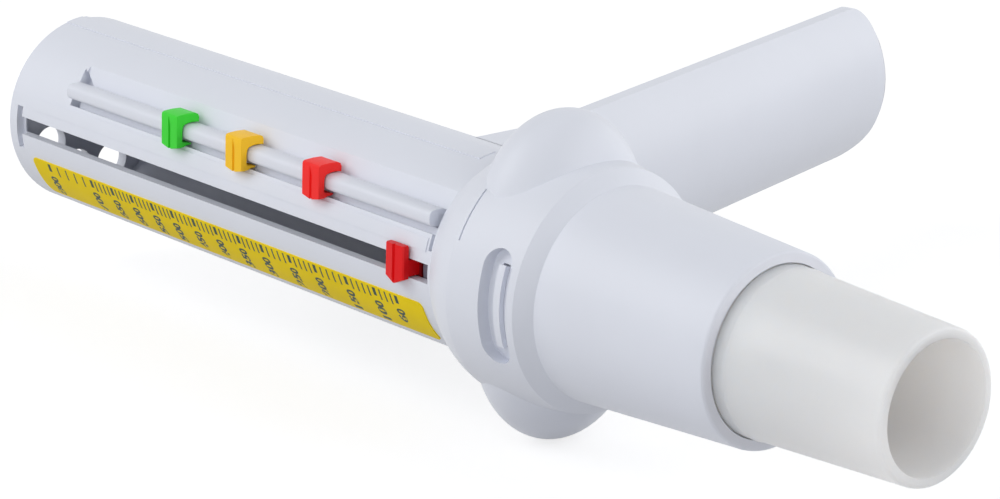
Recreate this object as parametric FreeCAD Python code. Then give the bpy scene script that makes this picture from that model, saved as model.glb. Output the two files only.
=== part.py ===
"""A hand-held peak flow meter with a fold-out handle and sliding zone markers.

The origin is the centre of the mouthpiece's open end. +X points out of the mouthpiece along the tube,
-Y is the front with the scale and its slot, +Y the back with the handle, and +Z is up.
Angles around the tube are degrees above the front. All sizes are in millimetres.
"""
import FreeCAD, Part
import math
import os
from FreeCAD import Vector

# Overall stations along the tube, each measured back from the open end
MOUTHPIECE_SHOWS = 35.1
PORT_LENGTH = 37.9
COLLAR_LENGTH = 26.5
TUBE_END = 226.8

# Mouthpiece
LIP_R = 13.2
LIP_ROUND = 0.8
MOUTH_BORE_R = 11.4
MOUTH_BORE_LENGTH = 40.0
MOUTH_BASE_R = 14.75
SPIGOT_END_BORE_R = 13.0
BEAD_HEIGHT = 0.12
BEAD_WIDTH = 1.0
BEAD_FROM_RIM = 2.5

# Port
PORT_BORE_R = 15.0
RIM_R = 16.97
RIM_ROUND = 0.6
PORT_DEPTH = 23.0
STOP_WIDTH = 2.0
STOP_R = 13.4
PORT_BASE_R = 19.16
PLUG_R = 18.0
PLUG_LENGTH = 7.0

# Tube
BORE_R = 16.6
FRONT_WALL = 1.9
REAR_WALL = 1.6
TUBE_SEAT = 7.5
SLOT_WIDTH = 3.5
SLOT_FROM_COLLAR = 1.5
SLOT_TO_TAIL = 3.2
FLANGE_HEIGHT = 0.15
FLANGE_ANGLES = (75.0, 86.5)
FLANGE_FROM_COLLAR = 4.1
NOTCH_WIDTH = 1.7
NOTCH_DEPTH = 1.6
NOTCH_ANGLES = (-15.0, 11.5)
STRIP_HEIGHT = 0.2
STRIP_ANGLES = (12.0, 19.5)
STRIP_FROM_COLLAR = 2.4
STRIP_TO_TAIL = 7.3
STRIP_PIT_WIDTH = 0.8

# Marker rail, seated in the floor of its channel
RAIL_ANGLE = 31.2
RAIL_R = 1.8
RAIL_AT_R = 18.2
RAIL_FROM_COLLAR = 4.1
CHANNEL_ANGLES = (22.0, 39.0)
CHANNEL_RAMP_ANGLE = 49.0
CHANNEL_FLOOR_R = 17.2
CHANNEL_WALL = 1.0
CHANNEL_FROM_COLLAR = 1.1
CHANNEL_TO_TAIL = 18.4
CHANNEL_PIT_R = 16.3
CHANNEL_PIT_LENGTH = 1.5

# Zone markers, from the mouth end back, with places measured from the collar
MARKER_PLACES = {"clip_red": 32.5, "clip_orange": 54.8, "clip_green": 74.1}
MARKER_LENGTH = 4.7
MARKER_FACE = 19.5
MARKER_ARM = 1.7
MARKER_HOOK = 1.3
MARKER_JAW = 0.6
MARKER_DROP = 3.1
MARKER_POINT = 1.0
MARKER_ROUND = 0.45
MARKER_GROOVE = 0.5
MARKER_GROOVE_LENGTH = 4.6

# Pointer
POINTER_FROM_COLLAR = 8.6
POINTER_LENGTH = 4.9
POINTER_PLATE = 1.4
POINTER_HEIGHT = 7.0
POINTER_LIFT = 0.6
POINTER_POINT = 1.0
POINTER_RIDGE = 0.45
FOOT_LENGTH = 6.0
FOOT_ANGLE = 12.0
FOOT_THICK = 1.8

# Piston, rod and spring
PISTON_TO_FOOT = 0.5
PISTON_THICK = 1.6
PISTON_RIM_DEPTH = 3.0
PISTON_RIM_WALL = 0.9
HUB_R = 4.5
HUB_FLANGE_R = 7.0
HUB_FLANGE = 1.2
HUB_LENGTH = 6.0
ROD_R = 1.5
SPIDER_INSET = 3.0
SPIDER_WIDTH = 3.0
SPIDER_RING = 1.4
SPIDER_HUB_R = 4.0
SPIDER_ARM = 1.8
SPRING_R = 3.4
WIRE_R = 0.3
SPRING_TURNS = 8
RETAINER_R = 4.2
RETAINER_THICK = 0.8

# Tail cap
TAIL_CAP_THICK = 2.5
TAIL_HOLE_R = 3.5
TAIL_HOLE_PITCH_R = 11.8
TAIL_HOLE_ANGLES = (27.0, 69.0, 111.0, 153.0)
TAIL_BOSS_R = 4.2
TAIL_BOSS_LENGTH = 3.0

# Collar and its domes
COLLAR_EDGE_R = 19.3
COLLAR_FALL = 1.5
COLLAR_BEVEL_FROM = 13.5
COLLAR_BEVEL_AT_TOP = 6.0
COLLAR_MAX_R = 22.9
COLLAR_MAX_FROM_BASE = 18.0
COLLAR_FRONT_R = 21.7
COLLAR_SHOULDER = 2.5
DOME_FROM_BASE = 14.5
DOME_HALF_WIDTH = 11.5
DOME_HALF_DEPTH = 16.5
DOME_FOOT = 10.0
DOME_TOP = 29.6
SEAM_FROM_BASE = 17.2
SEAM_WIDTH = 0.35
SEAM_ANGLES = (24.0, 49.0)
RECESS_FROM_BASE = 7.1
RECESS_WIDTH = 6.2
RECESS_HEIGHT = 20.3
RECESS_FLOOR_R = 20.2
LATCH_WIDTH = 1.6
LATCH_ANGLE = 20.0
LATCH_TOP_R = 21.2
LATCH_ROOT = 1.2

# Cheeks of the hinge
HINGE_FROM_COLLAR = 10.1
HINGE_OFF = 22.0
CHEEK_R = 7.4
CHEEK_INSIDE = 12.0
CHEEK_TOP = 17.5
CHEEK_FROM_AXIS = 3.0
CHEEK_ROUND = 1.2

# Handle
HANDLE_OPEN = 74.5
HANDLE_IN_R = 18.7
HANDLE_WALL = 1.6
HANDLE_PAST_TAIL = 11.2
HANDLE_END_HALF = 16.0
HANDLE_ROOT_TOP = 16.5
HANDLE_ROOT_BOTTOM = 17.8
HANDLE_CORNER = 5.5
TONGUE_HALF = 11.6
KNUCKLE_R = 3.0
HINGE_PIN_R = 1.5
HINGE_PIN_HALF = 15.0

# Scale label
LABEL_FROM_COLLAR = 3.8
LABEL_TO_TAIL = 6.3
LABEL_ANGLES = (-47.5, -18.8)
LABEL_THICK = 0.2
LABEL_CORNER = 1.2

# Clearances
RUNNING = 0.06
PRESS_ON = 0.05
SLIDE_GAP = 0.3

rim_at = MOUTHPIECE_SHOWS
base_at = rim_at + PORT_LENGTH
collar_end = base_at + COLLAR_LENGTH
tube_start = collar_end - TUBE_SEAT
FRONT_R = BORE_R + FRONT_WALL
REAR_R = BORE_R + REAR_WALL
max_at = base_at + COLLAR_MAX_FROM_BASE
dome_at = base_at + DOME_FROM_BASE
recess_at = base_at + RECESS_FROM_BASE
hinge_at = collar_end + HINGE_FROM_COLLAR
slot_end = TUBE_END - SLOT_TO_TAIL
channel_start = collar_end + CHANNEL_FROM_COLLAR
channel_end = TUBE_END - CHANNEL_TO_TAIL
trough_r = RAIL_AT_R - RAIL_R - CHANNEL_WALL
pointer_at = collar_end + POINTER_FROM_COLLAR
piston_back = pointer_at - FOOT_LENGTH / 2 - PISTON_TO_FOOT
piston_face = piston_back - PISTON_THICK
spider_at = tube_start + SPIDER_INSET
cap_start = TUBE_END - TAIL_CAP_THICK
handle_end = TUBE_END + HANDLE_PAST_TAIL
X_AXIS = Vector(1, 0, 0)
Z_AXIS = Vector(0, 0, 1)


def revolved(points):
    """Turns a closed outline of (distance back, radius) points about the tube's axis."""
    corners = [Vector(-back, 0, radius) for back, radius in points]
    outline = Part.makePolygon(corners + corners[:1])
    return Part.Face(outline).revolve(Vector(0, 0, 0), X_AXIS, 360)


def cylinder(start, end, radius):
    """A round bar on the tube's axis between two distances back."""
    return Part.makeCylinder(radius, end - start, Vector(-end, 0, 0), X_AXIS)


def around(back, radius, angle):
    """The point at a distance back, a radius and an angle above the front."""
    turn = math.radians(angle)
    return Vector(-back, -radius * math.cos(turn), radius * math.sin(turn))


def sector(start, end, inner, outer, low, high):
    """A piece of pipe wall between two angles and two distances back."""
    middle = (low + high) / 2
    far_arc = Part.Arc(around(end, outer, low), around(end, outer, middle), around(end, outer, high))
    near_arc = Part.Arc(around(end, inner, high), around(end, inner, middle), around(end, inner, low))
    sides = [
        far_arc.toShape(),
        Part.makeLine(around(end, outer, high), around(end, inner, high)),
        near_arc.toShape(),
        Part.makeLine(around(end, inner, low), around(end, outer, low)),
    ]
    return Part.Face(Part.Wire(sides)).extrude(Vector(end - start, 0, 0))


def box_between(low, high):
    """A box from its lowest to its highest corner."""
    size = high - low
    return Part.makeBox(size.x, size.y, size.z, low)


def keep(shape):
    """One clean solid."""
    return shape.removeSplitter()


def rounded_rim(back, radius, size):
    """The points of a small round from a flat end face at a distance back to the outside."""
    steps = 3
    turns = [math.radians(90 * i / steps) for i in range(steps + 1)]
    return [(back + size * (1 - math.cos(turn)), radius - size * (1 - math.sin(turn))) for turn in turns]


def make_mouthpiece():
    spigot_r = PORT_BORE_R - RUNNING
    end = rim_at + PORT_DEPTH
    slope = (MOUTH_BASE_R - LIP_R) / rim_at
    bead = []
    for offset, height in ((-BEAD_WIDTH / 2, 0), (0, BEAD_HEIGHT), (BEAD_WIDTH / 2, 0)):
        back = rim_at - BEAD_FROM_RIM + offset
        bead.append((back, LIP_R + slope * back + height))
    return revolved([(0, MOUTH_BORE_R)] + rounded_rim(0, LIP_R, LIP_ROUND) + bead + [
        (rim_at, MOUTH_BASE_R),
        (rim_at, spigot_r),
        (end, spigot_r),
        (end, SPIGOT_END_BORE_R),
        (MOUTH_BORE_LENGTH, MOUTH_BORE_R),
    ])


def make_port_body():
    stop_front = rim_at + PORT_DEPTH
    stop_back = stop_front + STOP_WIDTH
    widened = stop_back + (BORE_R - STOP_R) * 2
    end = base_at + PLUG_LENGTH
    return revolved([(rim_at, PORT_BORE_R)] + rounded_rim(rim_at, RIM_R, RIM_ROUND) + [
        (base_at, PORT_BASE_R),
        (base_at, PLUG_R),
        (end, PLUG_R),
        (end, BORE_R),
        (widened, BORE_R),
        (stop_back, STOP_R),
        (stop_front, STOP_R),
        (stop_front, PORT_BORE_R),
    ])


def barrel_radius(back):
    """The collar's outer radius, which falls away on both sides of its widest station."""
    if back > max_at:
        share = (back - max_at) / (collar_end - max_at)
        return COLLAR_MAX_R - (COLLAR_MAX_R - COLLAR_EDGE_R) * share ** COLLAR_FALL
    share = (max_at - back) / (max_at - base_at - COLLAR_SHOULDER)
    return COLLAR_MAX_R - (COLLAR_MAX_R - COLLAR_FRONT_R) * share ** 2


def make_barrel():
    """The collar's outer form: a swelling band of three arcs and a flat chamfer at its mouth end."""
    shoulder_at = base_at + COLLAR_SHOULDER
    turn_at = max_at + 0.8 * (collar_end - max_at)
    stations = [collar_end, turn_at, max_at, shoulder_at]
    sides = []
    for far, near in zip(stations, stations[1:]):
        points = [Vector(-back, 0, barrel_radius(back)) for back in (far, (far + near) / 2, near)]
        sides.append(Part.Arc(*points).toShape())
    corners = [(shoulder_at, COLLAR_FRONT_R), (base_at, PORT_BASE_R), (base_at, 0),
               (collar_end, 0), (collar_end, COLLAR_EDGE_R)]
    corners = [Vector(-back, 0, radius) for back, radius in corners]
    sides += [Part.makeLine(first, second) for first, second in zip(corners, corners[1:])]
    return Part.Face(Part.Wire(sides)).revolve(Vector(0, 0, 0), X_AXIS, 360)


def make_dome():
    """The upper dome: half a stretched ball, longer from front to back than along the tube."""
    ball = Part.makeSphere(1, Vector(0, 0, 0), Z_AXIS, 0, 90, 360)
    stretch = FreeCAD.Matrix()
    stretch.scale(DOME_HALF_WIDTH, DOME_HALF_DEPTH, DOME_TOP - DOME_FOOT)
    dome = ball.transformGeometry(stretch)
    dome.translate(Vector(-dome_at, 0, DOME_FOOT))
    return dome


def make_cheek():
    """The upper cheek, with a straight rear edge, a round end at the hinge and a tangent to the dome."""
    hinge = Vector(-hinge_at, HINGE_OFF, CHEEK_INSIDE)
    dome = Vector(-dome_at, 0, CHEEK_INSIDE)
    along = Vector(dome - hinge).normalize()
    lean = (DOME_HALF_WIDTH - CHEEK_R) / (dome - hinge).Length
    outward = Vector(-along.y, along.x, 0) * math.sqrt(1 - lean ** 2) - along * lean
    rear = hinge - X_AXIS * CHEEK_R
    round_end = hinge + outward * CHEEK_R
    middle = hinge + (outward - X_AXIS).normalize() * CHEEK_R
    at_dome = dome + outward * DOME_HALF_WIDTH
    corners = [round_end, at_dome, Vector(at_dome.x, CHEEK_FROM_AXIS, CHEEK_INSIDE),
               Vector(rear.x, CHEEK_FROM_AXIS, CHEEK_INSIDE), rear]
    sides = [Part.makeLine(first, second) for first, second in zip(corners, corners[1:])]
    sides.append(Part.Arc(rear, middle, round_end).toShape())
    cheek = Part.Face(Part.Wire(sides)).extrude(Vector(0, 0, CHEEK_TOP - CHEEK_INSIDE))
    upper = [edge for edge in cheek.Edges if edge.BoundBox.ZMin > CHEEK_TOP - 0.01
             and edge.BoundBox.YMax > CHEEK_FROM_AXIS + 0.01 and edge.BoundBox.XMin < at_dome.x - 0.01]
    return cheek.makeFillet(CHEEK_ROUND, upper)


def stadium_prism(back, width, height, low_y, high_y):
    """An upright slot shape with round ends, run through from front to back."""
    radius = width / 2
    half = height / 2 - radius
    sides = [
        Part.makeLine(Vector(-back - radius, low_y, -half), Vector(-back - radius, low_y, half)),
        Part.Arc(Vector(-back - radius, low_y, half), Vector(-back, low_y, half + radius),
                 Vector(-back + radius, low_y, half)).toShape(),
        Part.makeLine(Vector(-back + radius, low_y, half), Vector(-back + radius, low_y, -half)),
        Part.Arc(Vector(-back + radius, low_y, -half), Vector(-back, low_y, -half - radius),
                 Vector(-back - radius, low_y, -half)).toShape(),
    ]
    return Part.Face(Part.Wire(sides)).extrude(Vector(0, high_y - low_y, 0))


def tube_room():
    """The space that the two shells and the air take inside the collar and under its cheeks."""
    front = sector(tube_start, TUBE_END, 0.5, FRONT_R + PRESS_ON, -90, 90)
    rear = cylinder(tube_start, TUBE_END, REAR_R + PRESS_ON)
    air = cylinder(base_at, tube_start, BORE_R)
    plug = cylinder(base_at, base_at + PLUG_LENGTH, PLUG_R + PRESS_ON)
    return front.fuse([rear, air, plug])


def collar_bevel():
    """What the collar's band loses at its rear end above, where it narrows towards the dome."""
    far = -collar_end - 1
    corners = [Vector(far, 0, COLLAR_BEVEL_FROM), Vector(-collar_end + COLLAR_BEVEL_AT_TOP, 0, COLLAR_MAX_R + 1),
               Vector(far, 0, COLLAR_MAX_R + 1)]
    bevel = Part.Face(Part.makePolygon(corners + corners[:1])).extrude(Vector(0, COLLAR_MAX_R, 0))
    bevel.translate(Vector(0, CHEEK_FROM_AXIS - COLLAR_MAX_R, 0))
    return bevel


def make_collar():
    above = make_dome().fuse(make_cheek())
    bevel = collar_bevel()
    below = above.mirror(Vector(0, 0, 0), Z_AXIS)
    band = make_barrel().cut([bevel, bevel.mirror(Vector(0, 0, 0), Z_AXIS)])
    body = band.fuse([above, below])
    flange_room = FRONT_R + FLANGE_HEIGHT + PRESS_ON
    recess = stadium_prism(recess_at, RECESS_WIDTH, RECESS_HEIGHT, -COLLAR_MAX_R - 1, 0)
    recess = recess.cut(cylinder(base_at - 1, collar_end, RECESS_FLOOR_R))
    pocket = sector(recess_at - LATCH_WIDTH / 2 - PRESS_ON, recess_at + LATCH_WIDTH / 2 + PRESS_ON,
                    RECESS_FLOOR_R - LATCH_ROOT, RECESS_FLOOR_R + 1, -LATCH_ANGLE - 1, LATCH_ANGLE + 1)
    seam_at = base_at + SEAM_FROM_BASE
    seam = sector(seam_at - SEAM_WIDTH / 2, seam_at + SEAM_WIDTH / 2,
                  COLLAR_MAX_R - SEAM_WIDTH, COLLAR_MAX_R + 1, *SEAM_ANGLES)
    pin_hole = Part.makeCylinder(HINGE_PIN_R + PRESS_ON, 2 * HINGE_PIN_HALF,
                                 Vector(-hinge_at, HINGE_OFF, -HINGE_PIN_HALF), Z_AXIS)
    beyond = sector(collar_end, hinge_at + CHEEK_R, 1, flange_room, -90, 90)
    return keep(body.cut([tube_room(), recess, pocket, seam, pin_hole, beyond]))


def make_snap_latch():
    """The curved snap rib that shows in the collar's recess."""
    return sector(recess_at - LATCH_WIDTH / 2, recess_at + LATCH_WIDTH / 2,
                  RECESS_FLOOR_R - LATCH_ROOT, LATCH_TOP_R, -LATCH_ANGLE, LATCH_ANGLE)


def trough_angles(gap):
    """The angles of the channel's outer walls, with a gap around them."""
    extra = math.degrees((CHANNEL_WALL + gap) / trough_r)
    return CHANNEL_ANGLES[0] - extra, CHANNEL_RAMP_ANGLE + extra / 2


def make_channel():
    """The room cut for the marker rail: a floor below it and a ramp above it."""
    low, high = CHANNEL_ANGLES
    length = channel_end - channel_start
    floor = sector(channel_start, channel_end, CHANNEL_FLOOR_R, FRONT_R + 2, low, high)
    foot = around(channel_end, CHANNEL_FLOOR_R, high)
    top = around(channel_end, FRONT_R, CHANNEL_RAMP_ANGLE)
    beyond = top + (top - foot) * 0.5
    outside = around(channel_end, FRONT_R + 2, high - 1)
    ramp = Part.Face(Part.makePolygon([foot, beyond, outside, foot])).extrude(X_AXIS * length)
    seat = Part.makeCylinder(RAIL_R + PRESS_ON, length, around(channel_end, RAIL_AT_R, RAIL_ANGLE), X_AXIS)
    return floor.fuse([ramp, seat])


def channel_pits():
    """The deeper corners at the channel's ends: a square one, a three-cornered one and the strip's."""
    low, high = CHANNEL_ANGLES
    square = sector(channel_end - CHANNEL_PIT_LENGTH, channel_end, CHANNEL_PIT_R, FRONT_R + 1, low, low + 4.3)
    foot = around(channel_end, FRONT_R + 1, high - 3)
    corners = [foot, around(channel_end - 2 * CHANNEL_PIT_LENGTH, FRONT_R + 1, high - 1),
               around(channel_end + CHANNEL_PIT_LENGTH / 2, FRONT_R + 1, CHANNEL_RAMP_ANGLE - 3), foot]
    inwards = around(0, FRONT_R + 1 - CHANNEL_PIT_R, high) * -1
    triangle = Part.Face(Part.makePolygon(corners)).extrude(inwards)
    strip_end = sector(channel_start, channel_start + STRIP_PIT_WIDTH, FRONT_R - 1, FRONT_R + 1,
                       STRIP_ANGLES[0] + 1, low)
    return [square, triangle, strip_end]


def make_front_shell():
    low, high = FLANGE_ANGLES
    shell = sector(tube_start, TUBE_END, BORE_R, FRONT_R, -90, 90)
    raised = [sector(collar_end + STRIP_FROM_COLLAR, TUBE_END - STRIP_TO_TAIL,
                     FRONT_R - 0.5, FRONT_R + STRIP_HEIGHT, *STRIP_ANGLES)]
    for angles in ((low, high), (-high, -low)):
        raised.append(sector(collar_end + FLANGE_FROM_COLLAR, TUBE_END,
                             FRONT_R - 0.5, FRONT_R + FLANGE_HEIGHT, *angles))
    trough = sector(channel_start - CHANNEL_WALL, channel_end + 2 * CHANNEL_WALL, trough_r,
                    BORE_R + FRONT_WALL / 2, *trough_angles(0))
    slot = box_between(Vector(-slot_end, -FRONT_R - 1, -SLOT_WIDTH / 2),
                       Vector(-collar_end - SLOT_FROM_COLLAR, -BORE_R / 2, SLOT_WIDTH / 2))
    notch = sector(slot_end - NOTCH_WIDTH / 2, slot_end + NOTCH_WIDTH / 2,
                   FRONT_R - NOTCH_DEPTH, FRONT_R + 1, *NOTCH_ANGLES)
    return keep(shell.fuse(raised + [trough]).cut([make_channel(), slot, notch] + channel_pits()))


def make_rear_shell():
    return sector(tube_start, TUBE_END, BORE_R, REAR_R, 90, 270)


def make_marker_rail():
    length = channel_end - collar_end - RAIL_FROM_COLLAR
    return Part.makeCylinder(RAIL_R, length, around(channel_end, RAIL_AT_R, RAIL_ANGLE), X_AXIS)


def make_marker(back):
    """A C-shaped clip: a pointed front plate with a hook over the rail and a jaw under it."""
    rail = around(back, RAIL_AT_R, RAIL_ANGLE)
    low_x = -back - MARKER_LENGTH / 2
    high_x = -back + MARKER_LENGTH / 2
    inner = RAIL_R + SLIDE_GAP
    top = rail.z + inner + MARKER_ARM
    bottom = rail.z - MARKER_DROP

    def rod(radius):
        return Part.makeCylinder(radius, MARKER_LENGTH, Vector(low_x, rail.y, rail.z), X_AXIS)

    block = box_between(Vector(low_x, -MARKER_FACE, bottom), Vector(high_x, rail.y, top))
    outside = [edge for edge in block.Edges if edge.BoundBox.YMax < rail.y - 0.01
               and edge.BoundBox.ZMax > bottom + 0.01]
    outside += [edge for edge in block.Edges if edge.BoundBox.YLength > 1 and edge.BoundBox.ZMin > top - 0.01]
    block = block.makeFillet(MARKER_ROUND, outside)
    plate_room = box_between(Vector(low_x, rail.y - inner, bottom), Vector(high_x, rail.y, rail.z))
    hook = rod(inner + MARKER_ARM).common(
        box_between(Vector(low_x, rail.y - 1, rail.z), Vector(high_x, rail.y + MARKER_HOOK, top)))
    jaw = rod(inner + MARKER_JAW).common(
        box_between(Vector(low_x, -MARKER_FACE, bottom), Vector(high_x, rail.y - MARKER_JAW, rail.z)))
    shell_room = cylinder(-high_x, -low_x, FRONT_R + STRIP_HEIGHT + SLIDE_GAP)
    groove_room = sector(-high_x, -low_x, CHANNEL_FLOOR_R + SLIDE_GAP, FRONT_R + 3,
                         CHANNEL_ANGLES[0] + 1, CHANNEL_RAMP_ANGLE + 1)
    body = block.cut(plate_room).fuse([hook, jaw]).cut([rod(inner), shell_room.cut(groove_room)])
    cuts = [box_between(Vector(-back - MARKER_GROOVE / 2, -MARKER_FACE - 1, bottom - 1),
                        Vector(-back + MARKER_GROOVE / 2, -MARKER_FACE + MARKER_GROOVE,
                               bottom + MARKER_GROOVE_LENGTH))]
    tip = Vector(-back, -MARKER_FACE - 1, bottom)
    for corner_x in (low_x - 0.1, high_x + 0.1):
        corner = Vector(corner_x, tip.y, bottom - 0.1)
        up = corner + Vector(0, 0, MARKER_POINT + 0.1)
        wedge = Part.Face(Part.makePolygon([tip, corner, up, tip]))
        cuts.append(wedge.extrude(Vector(0, 5, 0)))
    return keep(body.cut(cuts))


def make_pointer():
    """A ridged plate with a pointed lower end and a stem through the slot."""
    half = POINTER_LENGTH / 2
    inner = -FRONT_R - SLIDE_GAP
    outer = inner - POINTER_PLATE
    top = POINTER_HEIGHT / 2 + POINTER_LIFT
    bottom = top - POINTER_HEIGHT
    shoulder = bottom + POINTER_POINT
    outline = [Vector(-pointer_at - half, 0, top), Vector(-pointer_at + half, 0, top),
               Vector(-pointer_at + half, 0, shoulder), Vector(-pointer_at, 0, bottom),
               Vector(-pointer_at - half, 0, shoulder)]
    face = Part.Face(Part.makePolygon(outline + outline[:1]))
    face.translate(Vector(0, outer, 0))
    plate = face.extrude(Vector(0, POINTER_PLATE, 0))
    for side in (-1, 1):
        edge = Vector(-pointer_at + side * (half + 0.1), outer - 0.1, bottom - 1)
        ridge = Vector(-pointer_at, outer - 0.1, bottom - 1)
        deep = edge + Vector(0, POINTER_RIDGE + 0.1, 0)
        wedge = Part.Face(Part.makePolygon([edge, ridge, deep, edge]))
        plate = plate.cut(wedge.extrude(Vector(0, 0, POINTER_HEIGHT + 2)))
    stem_half = SLOT_WIDTH / 2 - SLIDE_GAP
    stem = box_between(Vector(-pointer_at - half, inner - 0.5, -stem_half),
                       Vector(-pointer_at + half, -BORE_R + SLIDE_GAP, stem_half))
    return keep(plate.fuse(stem))


def make_pointer_foot():
    """The shoe inside the tube that the piston pushes."""
    outer = BORE_R - SLIDE_GAP
    shoe = sector(pointer_at - FOOT_LENGTH / 2, pointer_at + FOOT_LENGTH / 2,
                  outer - FOOT_THICK, outer, -FOOT_ANGLE, FOOT_ANGLE)
    return shoe.cut(make_pointer())


def channel_clearance(start, end):
    """The gap in the piston's edge that lets it pass the marker channel."""
    return sector(start - 1, end + 1, trough_r - SLIDE_GAP, BORE_R + 1, *trough_angles(SLIDE_GAP))


def make_piston_disc():
    outer = BORE_R - SLIDE_GAP
    disc = cylinder(piston_face, piston_back, outer)
    skirt = cylinder(piston_face - PISTON_RIM_DEPTH, piston_face, outer)
    skirt = skirt.cut(cylinder(piston_face - PISTON_RIM_DEPTH, piston_face, outer - PISTON_RIM_WALL))
    hub_hole = cylinder(piston_face, piston_back, HUB_R + PRESS_ON)
    gap = channel_clearance(piston_face - PISTON_RIM_DEPTH, piston_back)
    return keep(disc.fuse(skirt).cut([hub_hole, gap]))


def make_piston_hub():
    end = piston_face + HUB_LENGTH
    flange = cylinder(piston_face - HUB_FLANGE, piston_face, HUB_FLANGE_R)
    body = flange.fuse(cylinder(piston_face, end, HUB_R))
    return keep(body.cut(cylinder(piston_face - HUB_FLANGE, end, ROD_R + RUNNING)))


def make_guide_rod():
    return cylinder(spider_at, cap_start, ROD_R)


def make_rod_spider():
    """The three-armed carrier of the rod in the tube's mouth end."""
    end = spider_at + SPIDER_WIDTH
    ring = cylinder(spider_at, end, BORE_R - PRESS_ON)
    ring = ring.cut(cylinder(spider_at, end, BORE_R - SPIDER_RING))
    hub = cylinder(spider_at - SPIDER_WIDTH / 2, end, SPIDER_HUB_R)
    arms = []
    for angle in (90, 210, 330):
        arm = box_between(Vector(-end, HUB_R / 2, -SPIDER_ARM / 2),
                          Vector(-spider_at, BORE_R - SPIDER_RING / 2, SPIDER_ARM / 2))
        arm.rotate(Vector(0, 0, 0), X_AXIS, angle)
        arms.append(arm)
    body = ring.fuse([hub] + arms)
    return keep(body.cut(cylinder(spider_at, end, ROD_R + PRESS_ON)))


def make_rod_retainer():
    """The push-on washer that holds the rod's tail end against the cap's boss."""
    end = cap_start - TAIL_BOSS_LENGTH
    washer = cylinder(end - RETAINER_THICK, end, RETAINER_R)
    return washer.cut(cylinder(end - RETAINER_THICK, end, ROD_R + PRESS_ON))


def make_return_spring():
    """A coil spring between the piston's hub and the washer at the rod's tail end."""
    start = piston_face + HUB_LENGTH + WIRE_R
    end = cap_start - TAIL_BOSS_LENGTH - RETAINER_THICK - WIRE_R
    length = end - start
    helix = Part.makeHelix(length / SPRING_TURNS, length, SPRING_R)
    corners = [Vector(SPRING_R + across * WIRE_R, 0, along * WIRE_R)
               for across, along in ((1, 0), (0, 1), (-1, 0), (0, -1), (1, 0))]
    spring = Part.Wire(helix.Edges).makePipeShell([Part.makePolygon(corners)], True, True)
    spring.rotate(Vector(0, 0, 0), Vector(0, 1, 0), 90)
    spring.translate(Vector(-end, 0, 0))
    return spring


def make_tail_cap():
    disc = cylinder(cap_start, TUBE_END, BORE_R - PRESS_ON)
    boss = cylinder(cap_start - TAIL_BOSS_LENGTH, cap_start, TAIL_BOSS_R)
    boss = boss.cut(cylinder(cap_start - TAIL_BOSS_LENGTH, cap_start, ROD_R + PRESS_ON))
    holes = []
    for angle in TAIL_HOLE_ANGLES + tuple(-angle for angle in TAIL_HOLE_ANGLES):
        centre = around(TUBE_END, TAIL_HOLE_PITCH_R, angle)
        holes.append(Part.makeCylinder(TAIL_HOLE_R, TAIL_CAP_THICK, centre, X_AXIS))
    return keep(disc.cut(holes).fuse(boss))


def handle_outline():
    """The handle's outline seen from behind when closed: a tongue, a tapering blade and round corners."""
    root = hinge_at + CHEEK_R + SLIDE_GAP + 0.2
    corners = [
        Vector(-hinge_at, 0, TONGUE_HALF),
        Vector(-root, 0, TONGUE_HALF),
        Vector(-root, 0, HANDLE_ROOT_TOP),
        Vector(-handle_end, 0, HANDLE_END_HALF),
        Vector(-handle_end, 0, -HANDLE_END_HALF),
        Vector(-root, 0, -HANDLE_ROOT_BOTTOM),
        Vector(-root, 0, -TONGUE_HALF),
        Vector(-hinge_at, 0, -TONGUE_HALF),
    ]
    plate = Part.Face(Part.makePolygon(corners + corners[:1])).extrude(Vector(0, HINGE_OFF, 0))
    ends = [edge for edge in plate.Edges
            if edge.BoundBox.XMax < -handle_end + 0.01 and edge.BoundBox.YLength > 1]
    return plate.makeFillet(HANDLE_CORNER, ends)


def make_handle():
    """The handle is shaped closed over the tube's back, then swung open about its hinge."""
    outer = HANDLE_IN_R + HANDLE_WALL
    pipe = cylinder(hinge_at, handle_end, outer).cut(cylinder(hinge_at, handle_end, HANDLE_IN_R))
    shell = pipe.common(handle_outline())
    hinge = Vector(-hinge_at, HINGE_OFF, -TONGUE_HALF)
    knuckle = Part.makeCylinder(KNUCKLE_R, 2 * TONGUE_HALF, hinge, Z_AXIS)
    web = box_between(Vector(-hinge_at - 2 * KNUCKLE_R, outer - 2, -TONGUE_HALF),
                      Vector(-hinge_at, HINGE_OFF + KNUCKLE_R, TONGUE_HALF))
    slope = Part.makePolygon([Vector(-hinge_at - 2 * KNUCKLE_R, outer, 0),
                              Vector(-hinge_at, HINGE_OFF + KNUCKLE_R, 0),
                              Vector(-hinge_at - 2 * KNUCKLE_R - 1, HINGE_OFF + KNUCKLE_R + 1, 0),
                              Vector(-hinge_at - 2 * KNUCKLE_R, outer, 0)])
    above = Part.Face(slope).extrude(Vector(0, 0, 2 * TONGUE_HALF))
    above.translate(Vector(0, 0, -TONGUE_HALF))
    web = web.cut([above, cylinder(hinge_at - 1, handle_end, HANDLE_IN_R)])
    bore = Part.makeCylinder(HINGE_PIN_R + RUNNING, 2 * TONGUE_HALF, hinge, Z_AXIS)
    body = keep(shell.fuse([knuckle, web]).cut(bore))
    body.rotate(Vector(-hinge_at, HINGE_OFF, 0), Z_AXIS, -HANDLE_OPEN)
    return body


def make_hinge_pin():
    return Part.makeCylinder(HINGE_PIN_R, 2 * HINGE_PIN_HALF,
                             Vector(-hinge_at, HINGE_OFF, -HINGE_PIN_HALF), Z_AXIS)


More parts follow.
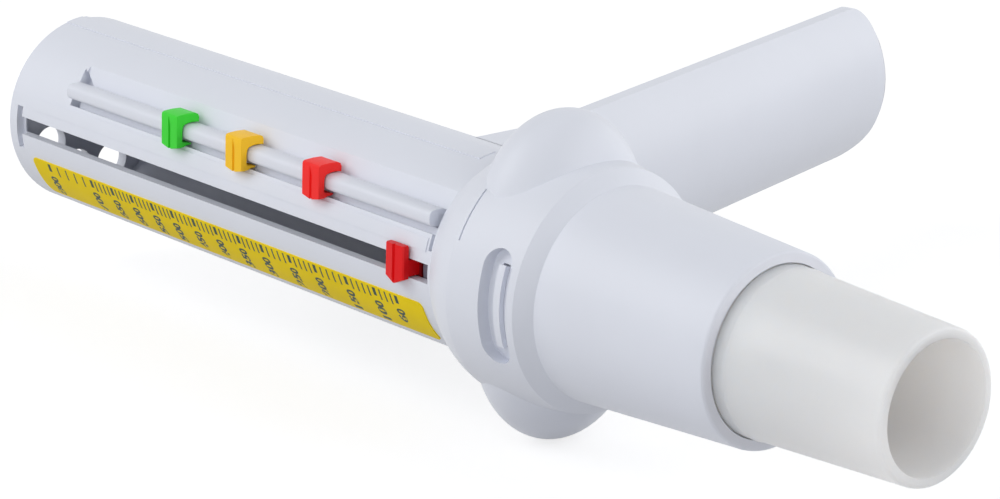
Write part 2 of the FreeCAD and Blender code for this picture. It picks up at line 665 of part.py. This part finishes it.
def make_scale_label():
    """The scale's label below the slot, with rounded corners."""
    start = collar_end + LABEL_FROM_COLLAR
    label = sector(start, TUBE_END - LABEL_TO_TAIL, FRONT_R, FRONT_R + LABEL_THICK, *LABEL_ANGLES)
    corners = [edge for edge in label.Edges if edge.Length < LABEL_THICK + 0.01]
    return label.makeFillet(LABEL_CORNER, corners)


def make_parts():
    parts = {
        "mouthpiece": make_mouthpiece(),
        "port_body": make_port_body(),
        "collar": make_collar(),
        "snap_latch": make_snap_latch(),
        "front_shell": make_front_shell(),
        "rear_shell": make_rear_shell(),
        "tail_cap": make_tail_cap(),
        "marker_rail": make_marker_rail(),
        "pointer": make_pointer(),
        "pointer_foot": make_pointer_foot(),
        "piston_disc": make_piston_disc(),
        "piston_hub": make_piston_hub(),
        "guide_rod": make_guide_rod(),
        "rod_spider": make_rod_spider(),
        "rod_retainer": make_rod_retainer(),
        "return_spring": make_return_spring(),
        "handle": make_handle(),
        "hinge_pin": make_hinge_pin(),
        "scale_label": make_scale_label(),
    }
    for name, back in MARKER_PLACES.items():
        parts[name] = make_marker(collar_end + back)
    return parts


os.makedirs("parts", exist_ok=True)
for name, shape in make_parts().items():
    box = shape.BoundBox
    print(name, shape.ShapeType, len(shape.Solids), round(shape.Volume, 1), shape.isValid(),
          [round(v, 1) for v in (box.XMin, box.XMax, box.YMin, box.YMax, box.ZMin, box.ZMax)])
    shape.exportStep("parts/" + name + ".step")
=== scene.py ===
"""Looks of a hand-held peak flow meter: materials, scale marks, studio and camera.

Everything is in metres in the part's own frame: +X out of the mouthpiece, -Y the scale's side, +Z up.
Angles around the tube are degrees above the front.
"""
import math

import bmesh
import bpy
from mathutils import Matrix, Vector


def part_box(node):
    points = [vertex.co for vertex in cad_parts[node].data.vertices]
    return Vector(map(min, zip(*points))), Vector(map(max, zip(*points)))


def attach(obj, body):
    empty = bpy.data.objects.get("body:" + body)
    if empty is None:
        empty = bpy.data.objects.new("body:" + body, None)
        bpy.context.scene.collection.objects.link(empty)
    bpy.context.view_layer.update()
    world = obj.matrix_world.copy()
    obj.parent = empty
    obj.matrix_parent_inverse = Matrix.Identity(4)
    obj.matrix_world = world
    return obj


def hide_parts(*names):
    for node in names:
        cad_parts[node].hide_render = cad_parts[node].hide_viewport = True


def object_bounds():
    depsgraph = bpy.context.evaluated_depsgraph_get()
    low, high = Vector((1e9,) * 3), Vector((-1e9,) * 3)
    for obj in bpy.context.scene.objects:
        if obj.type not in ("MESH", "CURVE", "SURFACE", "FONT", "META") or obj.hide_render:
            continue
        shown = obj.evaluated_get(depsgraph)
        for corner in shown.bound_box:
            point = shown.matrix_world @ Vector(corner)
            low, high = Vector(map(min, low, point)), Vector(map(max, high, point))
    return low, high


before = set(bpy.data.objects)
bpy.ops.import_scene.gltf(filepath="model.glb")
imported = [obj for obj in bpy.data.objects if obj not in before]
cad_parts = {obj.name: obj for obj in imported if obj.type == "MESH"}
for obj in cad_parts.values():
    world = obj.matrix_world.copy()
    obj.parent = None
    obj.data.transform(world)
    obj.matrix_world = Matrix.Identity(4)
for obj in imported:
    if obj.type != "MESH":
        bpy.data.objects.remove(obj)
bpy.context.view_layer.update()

MM = 0.001

# Camera, from the photograph's perspective
CAMERA_AT = Vector((366.95, -424.17, 193.05)) * MM
CAMERA_RIGHT = Vector((0.66346, 0.74769, 0.02786))
CAMERA_FORWARD = Vector((-0.71028, 0.64110, -0.29069))
LENS = 135.62

# Scale marks: readings and where they stand back from the open end, in millimetres
MAJOR_MARKS = {
    60: 110.5, 100: 116.5, 150: 124.4, 200: 133.2, 250: 140.5, 300: 148.6, 350: 155.5, 400: 162.4,
    450: 169.0, 500: 175.7, 550: 181.9, 600: 188.4, 650: 194.6, 700: 201.2, 800: 215.1,
}

# Ticks and numbers: angles where they start and end, tick widths and number heights in millimetres
TICK_TOP = -19.9
MAJOR_TICK = (-25.2, 0.85)
MINOR_TICK = (-27.0, 0.40)
NUMBER_TOP = -29.0
NUMBER_BOTTOM = -45.6
NUMBER_WIDENS = 0.35
NUMBER_SLANT = 0.9
NUMBER_HEIGHT = 2.3
NUMBER_BOLD = 0.04
INK_ABOVE_FILM = 0.03

# A zone marker's outline from its side: millimetres behind its face and below its top
MARKER_FRONT = [(0.0, 6.3), (0.0, 2.5), (0.0, 0.7), (0.15, 0.25)]
MARKER_REST = [(0.6, 0.1), (2.5, 0.0), (4.3, 0.1), (4.95, 0.4), (5.2, 1.0), (5.15, 1.95), (4.5, 1.85),
               (3.7, 1.75), (2.7, 1.8), (1.75, 2.05), (1.4, 2.5), (1.3, 3.2), (1.3, 5.1), (1.5, 5.35),
               (3.4, 5.7), (3.2, 6.0), (2.1, 6.05), (1.5, 6.3), (0.7, 6.35)]
MARKER_STATIONS = (-1.0, -0.14, -0.09, 0.09, 0.14, 1.0)
MARKER_GROOVE = 0.45
MARKER_POINT = 0.55

# The markers' rail, set against its solid, in millimetres
RAIL_REACH = 2.1
RAIL_FORWARD = 0.25
RAIL_LIFT = 0.25

# The pointer's plate seen from above: share of its half width, and millimetres behind its face
POINTER_PLAN = [(-1.0, 1.4), (-1.0, 0.4), (-0.88, 0.15), (-0.16, 0.0), (-0.06, 0.4),
                (0.06, 0.4), (0.16, 0.0), (0.88, 0.15), (1.0, 0.4), (1.0, 1.4)]

# The plate's levels: millimetres above its foot, and share of its full width
POINTER_LEVELS = [(0.0, 0.14), (1.0, 1.0), (6.7, 1.0), (7.0, 0.92)]
POINTER_STEM = 1.45

# The handle in millimetres, described while closed over the tube's back and swung open about its hinge.
# Its top and bottom edges are given at the root and at the end, its corners above and below.
HINGE_AT = 109.6
HINGE_OFF = 22.0
HINGE_OPEN = 74.5
KNUCKLE_R = 3.0
TONGUE_HALF = 11.6
TONGUE_END = 115.6
HANDLE_OUTER = 20.3
HANDLE_INNER = 18.7
HANDLE_ROOT = 117.5
HANDLE_END = 238.0
HANDLE_TOP = (15.3, 15.6)
HANDLE_BOTTOM = (18.0, 16.2)
HANDLE_CORNERS = (2.8, 5.2)

# Edges: lofted forms look smooth below the first angle, and their edges are rounded above the second
SMOOTH_BELOW = 35
ROUND_ABOVE = 50
MARKER_EDGE = 0.2
BLADE_EDGE = 0.3

# Surface textures: noise scales per metre, the grain's height in metres, and how far a colour varies
CLOUD_SCALE = 45
GRAIN_SCALE = 2600
GRAIN_HEIGHT = 0.00002
PLASTIC_SPREAD = 0.012
STREAK_SCALE = 900
STEEL_SPREAD = 0.06
FILM_CLOUD_SCALE = 60
FILM_GRAIN_SCALE = 1500
FILM_SPREAD = 0.05

# Light that travels in the mouthpiece's thin wall
GLOW_RADIUS = (1.0, 0.92, 0.84)
GLOW_SCALE = 0.011

# Studio: lamps with their places in metres and their powers in watts, the light all round, and the floor
LAMPS = {
    "key": ((-0.75, -0.85, 0.75), 7.4),
    "front": ((0.3, -1.2, 0.2), 4.6),
    "side": ((0.85, 0.55, 0.65), 6.3),
    "back": ((0.1, 1.2, 0.5), 3.9),
}
LAMP_SIZE = 0.9
LAMP_TARGET = (-0.11, 0.02, 0)
WORLD_LIGHT = (0.95, 0.97, 1.0, 1)
WORLD_STRENGTH = 0.32
FLOOR_SIZE = 6.0
FLOOR_GAP = 0.0002
FLOOR_COLOUR = (0.63, 0.63, 0.64, 1)
FLOOR_SEEN = (0.45, 0.45, 0.45, 1)
FLOOR_LIFT = 0.70
WHITE = (1, 1, 1, 1)


def from_screen(red, green, blue):
    """A display colour, 0 to 255, as linear light."""
    def linear(level):
        level /= 255
        return level / 12.92 if level <= 0.04045 else ((level + 0.055) / 1.055) ** 2.4
    return (linear(red), linear(green), linear(blue), 1.0)


def shader_nodes(name):
    """A new material with its node tree and main shader."""
    material = bpy.data.materials.new(name)
    material.use_nodes = True
    tree = material.node_tree
    return material, tree, tree.nodes["Principled BSDF"]


def add_noise(tree, scale, detail):
    """A noise texture in object coordinates, with its scale per metre."""
    where = tree.nodes.new("ShaderNodeTexCoord")
    noise = tree.nodes.new("ShaderNodeTexNoise")
    noise.inputs["Scale"].default_value = scale
    noise.inputs["Detail"].default_value = detail
    tree.links.new(where.outputs["Object"], noise.inputs["Vector"])
    return noise


def vary_colour(tree, shader, noise, colour, spread):
    """Blends the colour a little lighter and darker by a noise."""
    ramp = tree.nodes.new("ShaderNodeValToRGB")
    low, high = ramp.color_ramp.elements
    low.position, high.position = 0.3, 0.7
    low.color = tuple(c * (1 - spread) for c in colour[:3]) + (1,)
    high.color = tuple(min(1.0, c * (1 + spread)) for c in colour[:3]) + (1,)
    tree.links.new(noise.outputs["Fac"], ramp.inputs["Fac"])
    tree.links.new(ramp.outputs["Color"], shader.inputs["Base Color"])


def vary_roughness(tree, shader, noise, low, high):
    """Varies the roughness between two values by a noise."""
    spread = tree.nodes.new("ShaderNodeMapRange")
    spread.inputs["To Min"].default_value = low
    spread.inputs["To Max"].default_value = high
    tree.links.new(noise.outputs["Fac"], spread.inputs["Value"])
    tree.links.new(spread.outputs["Result"], shader.inputs["Roughness"])


def add_bump(tree, shader, noise, height, strength):
    """Raises the surface a little by a noise."""
    bump = tree.nodes.new("ShaderNodeBump")
    bump.inputs["Strength"].default_value = strength
    bump.inputs["Distance"].default_value = height
    tree.links.new(noise.outputs["Fac"], bump.inputs["Height"])
    tree.links.new(bump.outputs["Normal"], shader.inputs["Normal"])


def moulded_plastic(name, colour, roughness, glow=0.0, gloss=0.35):
    """Injection-moulded plastic: slight cloudiness, fine surface grain and uneven gloss."""
    material, tree, shader = shader_nodes(name)
    cloud = add_noise(tree, CLOUD_SCALE, 3)
    grain = add_noise(tree, GRAIN_SCALE, 2)
    vary_colour(tree, shader, cloud, colour, PLASTIC_SPREAD)
    vary_roughness(tree, shader, cloud, roughness - 0.04, roughness + 0.05)
    add_bump(tree, shader, grain, GRAIN_HEIGHT, 0.25)
    shader.inputs["Specular IOR Level"].default_value = gloss
    if glow:
        shader.inputs["Subsurface Weight"].default_value = glow
        shader.inputs["Subsurface Radius"].default_value = GLOW_RADIUS
        shader.inputs["Subsurface Scale"].default_value = GLOW_SCALE
    return material


def drawn_steel(name):
    """Bright steel with fine streaks."""
    material, tree, shader = shader_nodes(name)
    streaks = add_noise(tree, STREAK_SCALE, 4)
    vary_colour(tree, shader, streaks, (0.55, 0.55, 0.57, 1), STEEL_SPREAD)
    vary_roughness(tree, shader, streaks, 0.22, 0.38)
    shader.inputs["Metallic"].default_value = 1.0
    return material


def printed_film(name, colour):
    """The scale's printed yellow film, a touch warmer in patches."""
    material, tree, shader = shader_nodes(name)
    cloud = add_noise(tree, FILM_CLOUD_SCALE, 3)
    fine = add_noise(tree, FILM_GRAIN_SCALE, 2)
    vary_colour(tree, shader, cloud, colour, FILM_SPREAD)
    vary_roughness(tree, shader, fine, 0.5, 0.65)
    shader.inputs["Specular IOR Level"].default_value = 0.12
    return material


def dress(material, *nodes):
    """Gives one material to each named piece."""
    for node in nodes:
        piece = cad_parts[node]
        if not piece.material_slots:
            piece.data.materials.append(material)
        for slot in piece.material_slots:
            slot.link = "OBJECT"
            slot.material = material


def around(back, radius, angle):
    """A point at a distance back, a radius and an angle above the front, in millimetres, as metres."""
    turn = math.radians(angle)
    return Vector((-back, -radius * math.cos(turn), radius * math.sin(turn))) * MM


def label_radius():
    """The outer radius of the scale's film, in millimetres."""
    low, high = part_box("scale_label")
    corner_y = max(abs(low[1]), abs(high[1]))
    corner_z = min(abs(low[2]), abs(high[2]))
    return math.hypot(corner_y, corner_z) / MM


def minor_readings():
    """Readings between the major marks: every 10 up to 700, then every 20."""
    readings = list(range(60, 700, 10)) + list(range(700, 800, 20))
    return [reading for reading in readings if reading not in MAJOR_MARKS]


def mark_place(reading):
    """Where a reading stands back from the open end, between the major marks either side of it."""
    below = max(mark for mark in MAJOR_MARKS if mark <= reading)
    above = min(mark for mark in MAJOR_MARKS if mark >= reading)
    if above == below:
        return MAJOR_MARKS[below]
    share = (reading - below) / (above - below)
    return MAJOR_MARKS[below] + share * (MAJOR_MARKS[above] - MAJOR_MARKS[below])


def loft(name, rings, material):
    """A closed form through rings of points with as many points each, capped at both ends."""
    form = bmesh.new()
    loops = [[form.verts.new(point) for point in ring] for ring in rings]
    for first, second in zip(loops, loops[1:]):
        for i, corner in enumerate(first):
            j = (i + 1) % len(first)
            form.faces.new((corner, first[j], second[j], second[i]))
    form.faces.new(loops[0])
    form.faces.new(list(reversed(loops[-1])))
    bmesh.ops.recalc_face_normals(form, faces=form.faces)
    for face in form.faces:
        face.smooth = True
    mesh = bpy.data.meshes.new(name)
    form.to_mesh(mesh)
    form.free()
    mesh.set_sharp_from_angle(angle=math.radians(SMOOTH_BELOW))
    mesh.materials.append(material)
    piece = bpy.data.objects.new(name, mesh)
    bpy.context.scene.collection.objects.link(piece)
    return piece


def soften(piece, width):
    """Rounds the piece's edges a little."""
    soft = piece.modifiers.new("soft_edges", "BEVEL")
    soft.width = width * MM
    soft.segments = 2
    soft.limit_method = "ANGLE"
    soft.angle_limit = math.radians(ROUND_ABOVE)


def swung(back, off, up):
    """A point of the closed handle, swung open about the hinge."""
    turn = math.radians(-HINGE_OPEN)
    along, across = HINGE_AT - back, off - HINGE_OFF
    return Vector((along * math.cos(turn) - across * math.sin(turn) - HINGE_AT,
                   along * math.sin(turn) + across * math.cos(turn) + HINGE_OFF, up)) * MM


def blade_half(place, halves, corner):
    """How far the blade reaches from its middle at a distance back, with a round corner at its end."""
    share = (place - HANDLE_ROOT) / (HANDLE_END - HANDLE_ROOT)
    half = halves[0] + (halves[1] - halves[0]) * share
    past = max(0.0, place - (HANDLE_END - corner))
    return half - corner + math.sqrt(max(0.0, corner ** 2 - past ** 2))


def make_blade(material):
    """The handle's blade: part of a pipe's wall that tapers and has round corners at its end."""
    corner_start = HANDLE_END - HANDLE_CORNERS[1]
    places = [HANDLE_ROOT, corner_start]
    for turn in range(10, 91, 10):
        places.append(corner_start + HANDLE_CORNERS[1] * math.sin(math.radians(turn)))
    steps = 24
    rings = []
    for place in places:
        top = blade_half(place, HANDLE_TOP, HANDLE_CORNERS[0])
        bottom = blade_half(place, HANDLE_BOTTOM, HANDLE_CORNERS[1])
        ring = []
        for radius in (HANDLE_OUTER, HANDLE_INNER):
            high, low = math.asin(top / radius), -math.asin(bottom / radius)
            turns = [high + (low - high) * i / steps for i in range(steps + 1)]
            if radius == HANDLE_INNER:
                turns.reverse()
            ring += [swung(place, radius * math.cos(turn), radius * math.sin(turn)) for turn in turns]
        rings.append(ring)
    blade = loft("handle_blade", rings, material)
    soften(blade, BLADE_EDGE)
    return blade


def make_tongue(material):
    """The handle's tongue between the cheeks, with the knuckle that turns on the pin."""
    steps = 12
    rings = []
    for i in range(steps + 1):
        up = TONGUE_HALF * (2 * i / steps - 1)
        inner = math.sqrt(HANDLE_INNER ** 2 - up ** 2)
        outer = math.sqrt(HANDLE_OUTER ** 2 - up ** 2)
        outline = [(HANDLE_ROOT + 1, inner), (HANDLE_ROOT + 1, outer)]
        outline.append((TONGUE_END, max(outer, HANDLE_OUTER - 0.1)))
        for turn in range(50, 251, 20):
            outline.append((HINGE_AT + KNUCKLE_R * math.cos(math.radians(turn)),
                            HINGE_OFF + KNUCKLE_R * math.sin(math.radians(turn))))
        outline.append((HINGE_AT, inner))
        rings.append([swung(back, off, up) for back, off in outline])
    return loft("handle_tongue", rings, material)


def make_handle(material):
    """The handle's blade and tongue in place of its solid."""
    blade = make_blade(material)
    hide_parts("handle")
    for piece in (blade, make_tongue(material)):
        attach(piece, "handle")


def make_marker(node, material):
    """A zone marker: a thin C over the rail, with a grooved front that ends in a point."""
    low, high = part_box(node)
    middle = (low[0] + high[0]) / 2
    half = (high[0] - low[0]) / 2
    rings = []
    for station in MARKER_STATIONS:
        drop = MARKER_POINT * (1 - abs(station))
        groove = MARKER_GROOVE if abs(station) < 0.1 else 0
        front = [(depth + (groove if down > 2 else 0), down) for depth, down in MARKER_FRONT]
        outline = [(front[0][0], front[0][1] + drop)] + front[1:] + MARKER_REST[:-2]
        outline += [(depth, down + drop) for depth, down in MARKER_REST[-2:]]
        along = middle + station * half
        rings.append([(along, low[1] + depth * MM, high[2] - down * MM) for depth, down in outline])
    marker = loft(node + "_form", rings, material)
    soften(marker, MARKER_EDGE)
    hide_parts(node)
    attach(marker, node)


def make_pointer(material):
    """The pointer: a plate with a groove down its ridge and a pointed foot, and its stem in the slot."""
    low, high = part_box("pointer")
    middle = (low[0] + high[0]) / 2
    half = (high[0] - low[0]) / 2
    rings = []
    for up, share in POINTER_LEVELS:
        rings.append([(middle + across * share * half, low[1] + depth * MM, low[2] + up * MM)
                      for across, depth in POINTER_PLAN])
    plate = loft("pointer_form", rings, material)
    back = low[1] + POINTER_PLAN[0][1] * MM
    corners = ((-1, -1), (1, -1), (1, 1), (-1, 1))
    stem_rings = [[(middle + i * half, place, j * POINTER_STEM * MM) for i, j in corners]
                  for place in (back, high[1])]
    stem = loft("pointer_stem_form", stem_rings, material)
    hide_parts("pointer")
    for piece in (plate, stem):
        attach(piece, "pointer")


def make_rail(material):
    """The markers' rail: a bar between round and square that reaches up to the collar."""
    low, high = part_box("marker_rail")
    centre_y, centre_z = [(low[i] + high[i]) / 2 for i in (1, 2)]
    half = (high[2] - low[2]) / 2
    forward = RAIL_FORWARD * MM
    lift = RAIL_LIFT * MM
    steps = 40
    section = []
    for i in range(steps):
        turn = 2 * math.pi * i / steps
        across = math.copysign(abs(math.cos(turn)) ** (2 / 3), math.cos(turn))
        up = math.copysign(abs(math.sin(turn)) ** (2 / 3), math.sin(turn))
        section.append((centre_y - forward + across * (half + forward),
                        centre_z + lift + up * (half - lift)))
    rings = [[(place, y, z) for y, z in section] for place in (low[0], high[0] + RAIL_REACH * MM)]
    rail = loft("marker_rail_form", rings, material)
    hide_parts("marker_rail")
    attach(rail, "housing")


def make_ticks(ink, radius):
    """All tick marks as one thin mesh just over the film."""
    mesh = bpy.data.meshes.new("scale_ticks")
    form = bmesh.new()
    marks = [(MAJOR_MARKS[reading], MAJOR_TICK) for reading in MAJOR_MARKS]
    marks += [(mark_place(reading), MINOR_TICK) for reading in minor_readings()]
    steps = 3
    for place, (bottom, width) in marks:
        rows = []
        for i in range(steps + 1):
            angle = TICK_TOP + (bottom - TICK_TOP) * i / steps
            ends = [around(place + side * width / 2, radius, angle) for side in (-1, 1)]
            rows.append([form.verts.new(end) for end in ends])
        for upper, lower in zip(rows, rows[1:]):
            form.faces.new((upper[0], upper[1], lower[1], lower[0]))
    form.to_mesh(mesh)
    form.free()
    mesh.materials.append(ink)
    ticks = bpy.data.objects.new("scale_ticks", mesh)
    bpy.context.scene.collection.objects.link(ticks)
    return ticks


def text_mesh(text):
    """A number's flat outline as a mesh, with its low corner at zero."""
    curve = bpy.data.curves.new("number", "FONT")
    curve.body = text
    curve.size = 1.0
    curve.resolution_u = 4
    curve.offset = NUMBER_BOLD
    holder = bpy.data.objects.new("number", curve)
    bpy.context.scene.collection.objects.link(holder)
    bpy.context.view_layer.update()
    shown = holder.evaluated_get(bpy.context.evaluated_depsgraph_get())
    mesh = bpy.data.meshes.new_from_object(shown)
    bpy.data.objects.remove(holder)
    low = [min(vertex.co[i] for vertex in mesh.vertices) for i in (0, 1)]
    high = [max(vertex.co[i] for vertex in mesh.vertices) for i in (0, 1)]
    for vertex in mesh.vertices:
        vertex.co.x = (vertex.co.x - low[0]) / (high[0] - low[0])
        vertex.co.y = (vertex.co.y - low[1]) / (high[1] - low[1])
    return mesh


def make_numbers(ink, radius):
    """The readings, which run up around the tube with their tops towards the tail."""
    pieces = []
    for reading, place in MAJOR_MARKS.items():
        text = str(reading)
        mesh = text_mesh(text)
        bottom = NUMBER_TOP + (NUMBER_BOTTOM - NUMBER_TOP) * len(text) / 3
        for vertex in mesh.vertices:
            down = 1 - vertex.co.x
            down -= NUMBER_WIDENS * down * (1 - down)
            back = place + NUMBER_HEIGHT * (vertex.co.y - 0.5) + NUMBER_SLANT * down
            vertex.co = around(back, radius, NUMBER_TOP + (bottom - NUMBER_TOP) * down)
        mesh.materials.clear()
        mesh.materials.append(ink)
        piece = bpy.data.objects.new("scale_number_" + text, mesh)
        bpy.context.scene.collection.objects.link(piece)
        pieces.append(piece)
    return pieces


def make_scale(ink):
    """The printed marks on the scale's film."""
    over_film = label_radius() + INK_ABOVE_FILM
    pieces = [make_ticks(ink, over_film)] + make_numbers(ink, over_film)
    for piece in pieces:
        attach(piece, "housing")


def dress_all():
    """Gives every piece its material, and makes the pieces that stand in for a solid."""
    white = moulded_plastic("body_white", from_screen(226, 229, 238), 0.42)
    dress(white, "front_shell", "rear_shell", "tail_cap", "collar", "port_body", "snap_latch")
    make_rail(white)
    make_handle(white)
    warm = moulded_plastic("mouthpiece_white", from_screen(255, 250, 246), 0.36, glow=1.0)
    dress(warm, "mouthpiece")
    for zone, shade in (("green", (62, 218, 56)), ("orange", (255, 200, 40)), ("red", (252, 44, 40))):
        plastic = moulded_plastic("marker_" + zone, from_screen(*shade), 0.4, gloss=0.2)
        make_marker("clip_" + zone, plastic)
    make_pointer(moulded_plastic("pointer_red", from_screen(232, 14, 20), 0.35, gloss=0.2))
    # The foot is the pointer's red, darkened: painted shade for the shadow it stands in inside the tube.
    dress(moulded_plastic("pointer_foot_painted_shade", from_screen(120, 8, 16), 0.5, gloss=0.2), "pointer_foot")
    dress(moulded_plastic("inner_grey", from_screen(120, 120, 134), 0.5), "piston_disc", "piston_hub",
          "rod_spider")
    dress(drawn_steel("steel"), "guide_rod", "return_spring", "rod_retainer", "hinge_pin")
    dress(printed_film("label_yellow", from_screen(244, 214, 18)), "scale_label")
    make_scale(moulded_plastic("scale_ink", from_screen(36, 60, 44), 0.5))


def make_camera():
    """The camera, at the photograph's viewing angle."""
    camera = bpy.data.cameras.new("camera")
    camera.lens = LENS
    camera.sensor_width = 36.0
    camera.clip_start = 0.01
    holder = bpy.data.objects.new("camera", camera)
    bpy.context.scene.collection.objects.link(holder)
    back = -CAMERA_FORWARD.normalized()
    right = (CAMERA_RIGHT - CAMERA_RIGHT.dot(back) * back).normalized()
    up = back.cross(right)
    turn = Matrix((right, up, back)).transposed().to_4x4()
    holder.matrix_world = Matrix.Translation(CAMERA_AT) @ turn
    bpy.context.scene.camera = holder


def seen_rays(tree):
    """A value of 1 for what the camera sees directly, in gloss or through clear material."""
    path = tree.nodes.new("ShaderNodeLightPath")
    seen = path.outputs["Is Camera Ray"]
    for kind in ("Is Glossy Ray", "Is Transmission Ray"):
        either = tree.nodes.new("ShaderNodeMath")
        either.operation = "MAXIMUM"
        tree.links.new(seen, either.inputs[0])
        tree.links.new(path.outputs[kind], either.inputs[1])
        seen = either.outputs["Value"]
    return seen


def make_world():
    """Even studio light, seen as plain white behind the object and in its reflections."""
    world = bpy.data.worlds.new("studio")
    bpy.context.scene.world = world
    world.use_nodes = True
    tree = world.node_tree
    light = tree.nodes["Background"]
    light.inputs["Color"].default_value = WORLD_LIGHT
    light.inputs["Strength"].default_value = WORLD_STRENGTH
    white = tree.nodes.new("ShaderNodeBackground")
    white.inputs["Color"].default_value = WHITE
    white.inputs["Strength"].default_value = 1.0
    mix = tree.nodes.new("ShaderNodeMixShader")
    tree.links.new(seen_rays(tree), mix.inputs["Fac"])
    tree.links.new(light.outputs["Background"], mix.inputs[1])
    tree.links.new(white.outputs["Background"], mix.inputs[2])
    tree.links.new(mix.outputs["Shader"], tree.nodes["World Output"].inputs["Surface"])


def make_floor():
    """A white floor that shows a faint shadow of the object."""
    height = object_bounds()[0][2] - FLOOR_GAP
    corners = [(i * FLOOR_SIZE, j * FLOOR_SIZE, height) for i, j in ((-1, -1), (1, -1), (1, 1), (-1, 1))]
    mesh = bpy.data.meshes.new("floor")
    mesh.from_pydata(corners, [], [(0, 1, 2, 3)])
    floor = bpy.data.objects.new("floor", mesh)
    bpy.context.scene.collection.objects.link(floor)
    material, tree, shader = shader_nodes("floor_white")
    shader.inputs["Base Color"].default_value = FLOOR_COLOUR
    shader.inputs["Roughness"].default_value = 0.9
    shader.inputs["Specular IOR Level"].default_value = 0.1
    seen = tree.nodes.new("ShaderNodeBsdfDiffuse")
    seen.inputs["Color"].default_value = FLOOR_SEEN
    lift = tree.nodes.new("ShaderNodeEmission")
    lift.inputs["Color"].default_value = WHITE
    lift.inputs["Strength"].default_value = FLOOR_LIFT
    add = tree.nodes.new("ShaderNodeAddShader")
    tree.links.new(seen.outputs["BSDF"], add.inputs[0])
    tree.links.new(lift.outputs["Emission"], add.inputs[1])
    mix = tree.nodes.new("ShaderNodeMixShader")
    tree.links.new(seen_rays(tree), mix.inputs["Fac"])
    tree.links.new(shader.outputs["BSDF"], mix.inputs[1])
    tree.links.new(add.outputs["Shader"], mix.inputs[2])
    tree.links.new(mix.outputs["Shader"], tree.nodes["Material Output"].inputs["Surface"])
    mesh.materials.append(material)


def add_lamp(name, place, power):
    """A large square lamp that faces the object."""
    lamp = bpy.data.lights.new(name, "AREA")
    lamp.shape = "SQUARE"
    lamp.size = LAMP_SIZE
    lamp.energy = power
    holder = bpy.data.objects.new(name, lamp)
    bpy.context.scene.collection.objects.link(holder)
    holder.location = place
    holder.rotation_euler = (Vector(LAMP_TARGET) - Vector(place)).to_track_quat("-Z", "Y").to_euler()


make_camera()
make_world()
make_floor()
for lamp_name, (lamp_place, lamp_power) in LAMPS.items():
    add_lamp(lamp_name, lamp_place, lamp_power)
dress_all()

bpy.context.scene.view_settings.view_transform = "Standard"
